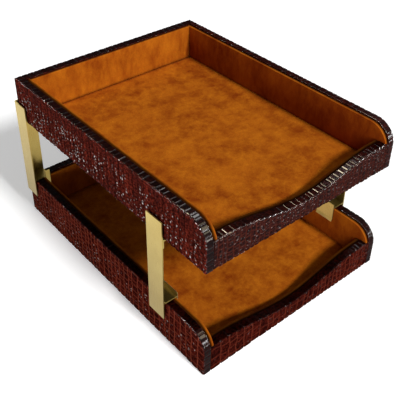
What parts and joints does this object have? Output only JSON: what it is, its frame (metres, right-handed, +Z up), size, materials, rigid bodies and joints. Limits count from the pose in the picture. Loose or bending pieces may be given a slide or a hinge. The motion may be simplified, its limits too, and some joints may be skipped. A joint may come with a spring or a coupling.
{
  "type": "double letter tray",
  "caption": "Two stacked open-front letter trays in embossed leather with suede lining, the upper one carried on clip-on brass corner and side posts.",
  "frame": {"origin": "centre of the bounding box, on the table under the lower tray", "axes": "+X to the right, +Y to the back, +Z up; the scooped front panels face -Y"},
  "size_m": [0.2594, 0.3346, 0.1861],
  "materials": {
    "crocodile_leather": "dark red-brown calf with a glossy crocodile embossing",
    "suede": "tan suede with a short nap",
    "board": "plain board, hidden under the leather",
    "base_cloth": "dark felted cloth",
    "brass": "polished, pale gold"
  },
  "bodies": {
    "lower_tray": {"lower_left_core": "board", "lower_left_cover": "crocodile_leather", "lower_left_lining": "suede", "lower_right_core": "board", "lower_right_cover": "crocodile_leather", "lower_right_lining": "suede", "lower_back_core": "board", "lower_back_cover": "crocodile_leather", "lower_back_lining": "suede", "lower_front_core": "board", "lower_front_cover": "crocodile_leather", "lower_front_lining": "suede", "lower_floor_board": "board", "lower_floor_lining": "suede", "lower_base_cloth": "base_cloth"},
    "upper_tray": {"upper_left_core": "board", "upper_left_cover": "crocodile_leather", "upper_left_lining": "suede", "upper_right_core": "board", "upper_right_cover": "crocodile_leather", "upper_right_lining": "suede", "upper_back_core": "board", "upper_back_cover": "crocodile_leather", "upper_back_lining": "suede", "upper_front_core": "board", "upper_front_cover": "crocodile_leather", "upper_front_lining": "suede", "upper_floor_board": "board", "upper_floor_lining": "suede", "upper_base_cloth": "base_cloth"},
    "front_left_post": {"front_left_post_plate": "brass", "front_left_post_clip": "brass", "front_left_post_ledge": "brass"},
    "front_right_post": {"front_right_post_plate": "brass", "front_right_post_clip": "brass", "front_right_post_ledge": "brass"},
    "back_left_post": {"back_left_post_angle": "brass", "back_left_post_clip": "brass", "back_left_post_ledge": "brass"},
    "back_right_post": {"back_right_post_angle": "brass", "back_right_post_clip": "brass", "back_right_post_ledge": "brass"}
  },
  "joints": [
    {"name": "front_left_post_shift", "type": "slide", "parent": "lower_tray", "child": "front_left_post", "axis": [0, 1, 0], "range_m": [-0.03, 0.12]},
    {"name": "front_right_post_shift", "type": "slide", "parent": "lower_tray", "child": "front_right_post", "axis": [0, 1, 0], "range_m": [-0.024, 0.12]},
    {"name": "back_left_post_lift", "type": "slide", "parent": "lower_tray", "child": "back_left_post", "axis": [0, 0, 1], "range_m": [0, 0.03]},
    {"name": "back_right_post_lift", "type": "slide", "parent": "lower_tray", "child": "back_right_post", "axis": [0, 0, 1], "range_m": [0, 0.03]},
    {"name": "upper_tray_lift", "type": "slide", "parent": "back_left_post", "child": "upper_tray", "axis": [0, 0, 1], "range_m": [0, 0.06]}
  ],
  "couplings": [
    {"joint": "back_right_post_lift", "follows": "back_left_post_lift", "ratio": 1}
  ]
}
